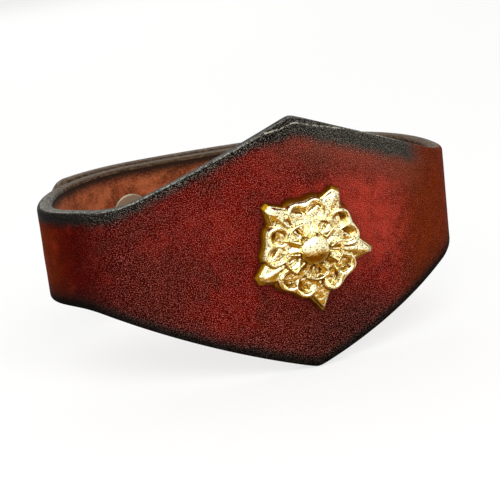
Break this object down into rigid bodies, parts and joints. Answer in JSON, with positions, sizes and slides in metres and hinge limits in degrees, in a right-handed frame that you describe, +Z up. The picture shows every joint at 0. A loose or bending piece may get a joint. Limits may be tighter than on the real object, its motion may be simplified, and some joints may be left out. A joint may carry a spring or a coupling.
{
  "type": "leather bracer",
  "caption": "Wrist bracer: a leather band with a pointed front shield, a cast rose concho screwed on, and a snapped strap at the back.",
  "frame": {"origin": "middle of the bounding box, at the height of the front's lower point", "axes": "+X to the right of someone facing the rose, +Y from the front towards the snapped back, +Z up along the wearer's arm"},
  "size_m": [0.08, 0.0566, 0.0478],
  "materials": {
    "red_leather": "vegetable-tanned leather, oxblood dye fading to a black burnished edge, suede flesh side",
    "strap_leather": "the same leather on the strap, browner towards its ends",
    "gold_casting": "bright gold plate on a coarse casting",
    "gold_screw": "plated slotted screw",
    "snap_nickel": "nickel plate, slightly dulled"
  },
  "bodies": {
    "front": {"front_panel": "red_leather", "rose_concho": "gold_casting", "concho_screw": "gold_screw"},
    "cap_end": {"cap_flap": "strap_leather", "snap_cap_a": "snap_nickel", "snap_socket_a": "snap_nickel", "socket_spring_a": "snap_nickel", "snap_cap_b": "snap_nickel", "snap_socket_b": "snap_nickel", "socket_spring_b": "snap_nickel"},
    "stud_end": {"stud_flap": "strap_leather", "snap_stud_a": "snap_nickel", "snap_eyelet_a": "snap_nickel", "snap_stud_b": "snap_nickel", "snap_eyelet_b": "snap_nickel"}
  },
  "joints": [
    {"name": "cap_flap_swing", "type": "hinge", "parent": "front", "child": "cap_end", "pos_m": [0.02954, 0.01911, 0.0251], "axis": [0, 0, -1], "range_deg": [0, 80], "stiffness_Nm_per_rad": 0.05},
    {"name": "stud_flap_swing", "type": "hinge", "parent": "front", "child": "stud_end", "pos_m": [-0.03665, 0.00917, 0.0251], "axis": [0, 0, 1], "range_deg": [0, 20], "stiffness_Nm_per_rad": 0.05}
  ],
  "couplings": [
    {"joint": "stud_flap_swing", "follows": "cap_flap_swing", "ratio": 0.25}
  ]
}
